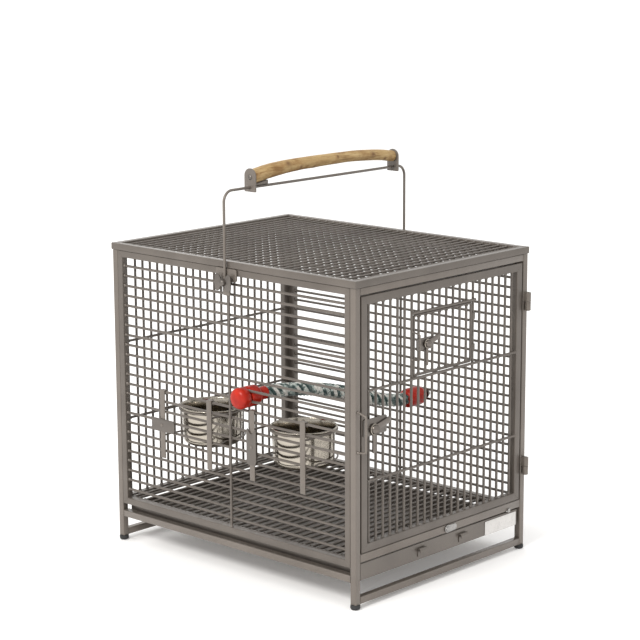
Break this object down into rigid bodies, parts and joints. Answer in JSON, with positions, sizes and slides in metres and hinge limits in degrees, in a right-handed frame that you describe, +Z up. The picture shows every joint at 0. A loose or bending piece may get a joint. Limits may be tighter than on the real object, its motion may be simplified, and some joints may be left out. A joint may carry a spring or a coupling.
{
  "type": "bird travel cage",
  "caption": "Travel cage for a pet parrot: welded tube and wire body, hinged door with feeding door, slide-out tray, lift-out grille, bowls, rope perch and carrying handle with wooden perch.",
  "frame": {"origin": "centre of the bounding box in plan, at the underside of the feet", "axes": "+Z up, -Y towards the door, +X towards the hinge side of the door"},
  "size_m": [0.387, 0.4798, 0.5639],
  "materials": {
    "powder_coat": "semi-gloss warm grey powder coat on welded steel",
    "rubber_foot": "matt",
    "stainless": "polished stainless steel",
    "zinc": "bright zinc plating",
    "wood": "peeled natural branch",
    "red_plastic": "gloss moulded",
    "rope": "laid cotton rope, undyed and green strands",
    "label": "blank badge"
  },
  "bodies": {
    "cage": {"post_front_left": "powder_coat", "post_front_right": "powder_coat", "post_rear_left": "powder_coat", "post_rear_right": "powder_coat", "foot_front_left": "rubber_foot", "foot_front_right": "rubber_foot", "foot_rear_left": "rubber_foot", "foot_rear_right": "rubber_foot", "panel_left": "powder_coat", "panel_right": "powder_coat", "panel_rear": "powder_coat", "rail_front_top": "powder_coat", "crossbar": "powder_coat", "base_rail_front": "powder_coat", "base_rail_rear": "powder_coat", "base_rail_left": "powder_coat", "base_rail_right": "powder_coat", "roof_frame": "powder_coat", "roof_cross_wires": "powder_coat", "tray_runner_left": "powder_coat", "tray_runner_right": "powder_coat", "grille_ledge_left": "powder_coat", "grille_ledge_right": "powder_coat", "post_knuckle_upper": "powder_coat", "post_knuckle_lower": "powder_coat", "latch_staple": "powder_coat", "bail_bracket_left": "powder_coat", "bail_bracket_right": "powder_coat", "bail_nut_left": "zinc", "bail_nut_right": "zinc", "tray_clip": "stainless", "cup_holder_1": "powder_coat", "cup_holder_2": "powder_coat", "perch_rope": "rope", "rope_nut_left": "red_plastic", "rope_cap_left": "red_plastic", "rope_cap_right": "red_plastic", "rope_bolt_right": "zinc"},
    "main_door": {"door_panel": "powder_coat", "door_knuckle_upper": "powder_coat", "door_knuckle_lower": "powder_coat", "latch_plate": "zinc", "small_staple": "powder_coat"},
    "door_latch": {"latch_lever": "stainless"},
    "feeding_door": {"small_door": "powder_coat", "small_latch_plate": "zinc"},
    "feeding_door_latch": {"small_latch_lever": "stainless"},
    "handle": {"bail_wire": "powder_coat", "perch_bracket_left": "powder_coat", "perch_bracket_right": "powder_coat", "wood_perch": "wood"},
    "tray_drawer": {"tray": "powder_coat", "tray_label": "label"},
    "turn_button": {"tray_turn_button": "stainless"},
    "grille": {"floor_grille": "powder_coat"},
    "feed_bowl_1": {"bowl_1": "stainless"},
    "feed_bowl_2": {"bowl_2": "stainless"},
    "holder_lever_1": {"cup_lever_1": "zinc"},
    "holder_lever_2": {"cup_lever_2": "zinc"}
  },
  "joints": [
    {"name": "main_door_hinge", "type": "hinge", "parent": "cage", "child": "main_door", "pos_m": [0.1755, -0.22862, 0.24518], "axis": [0, 0, 1], "range_deg": [0, 110]},
    {"name": "door_latch_pivot", "type": "hinge", "parent": "main_door", "child": "door_latch", "pos_m": [-0.14775, -0.22723, 0.24], "axis": [0, 1, 0], "range_deg": [0, 90]},
    {"name": "feeding_door_hinge", "type": "hinge", "parent": "main_door", "child": "feeding_door", "pos_m": [0.06413, -0.21936, 0.33525], "axis": [0, 0, 1], "range_deg": [0, 120]},
    {"name": "feeding_door_latch_pivot", "type": "hinge", "parent": "feeding_door", "child": "feeding_door_latch", "pos_m": [-0.0375, -0.22371, 0.33525], "axis": [0, 1, 0], "range_deg": [0, 90]},
    {"name": "handle_fold", "type": "hinge", "parent": "cage", "child": "handle", "pos_m": [0, 0.00688, 0.4095], "axis": [1, 0, 0], "range_deg": [-68, 68]},
    {"name": "tray_slide", "type": "slide", "parent": "cage", "child": "tray_drawer", "axis": [0, -1, 0], "range_m": [0, 0.34]},
    {"name": "turn_button_pivot", "type": "hinge", "parent": "cage", "child": "turn_button", "pos_m": [0.00675, -0.22525, 0.06893], "axis": [0, 1, 0], "range_deg": [0, 90]},
    {"name": "grille_lift", "type": "slide", "parent": "cage", "child": "grille", "axis": [0, 0, 1], "range_m": [0, 0.067]},
    {"name": "bowl_1_lift", "type": "slide", "parent": "cage", "child": "feed_bowl_1", "axis": [0, 0, 1], "range_m": [0, 0.063]},
    {"name": "bowl_2_lift", "type": "slide", "parent": "cage", "child": "feed_bowl_2", "axis": [0, 0, 1], "range_m": [0, 0.063]},
    {"name": "holder_lever_1_pivot", "type": "hinge", "parent": "cage", "child": "holder_lever_1", "pos_m": [-0.17944, 0.14225, 0.1875], "axis": [1, 0, 0], "range_deg": [0, 90]},
    {"name": "holder_lever_2_pivot", "type": "hinge", "parent": "cage", "child": "holder_lever_2", "pos_m": [-0.17944, -0.03475, 0.1875], "axis": [1, 0, 0], "range_deg": [-90, 0]}
  ]
}
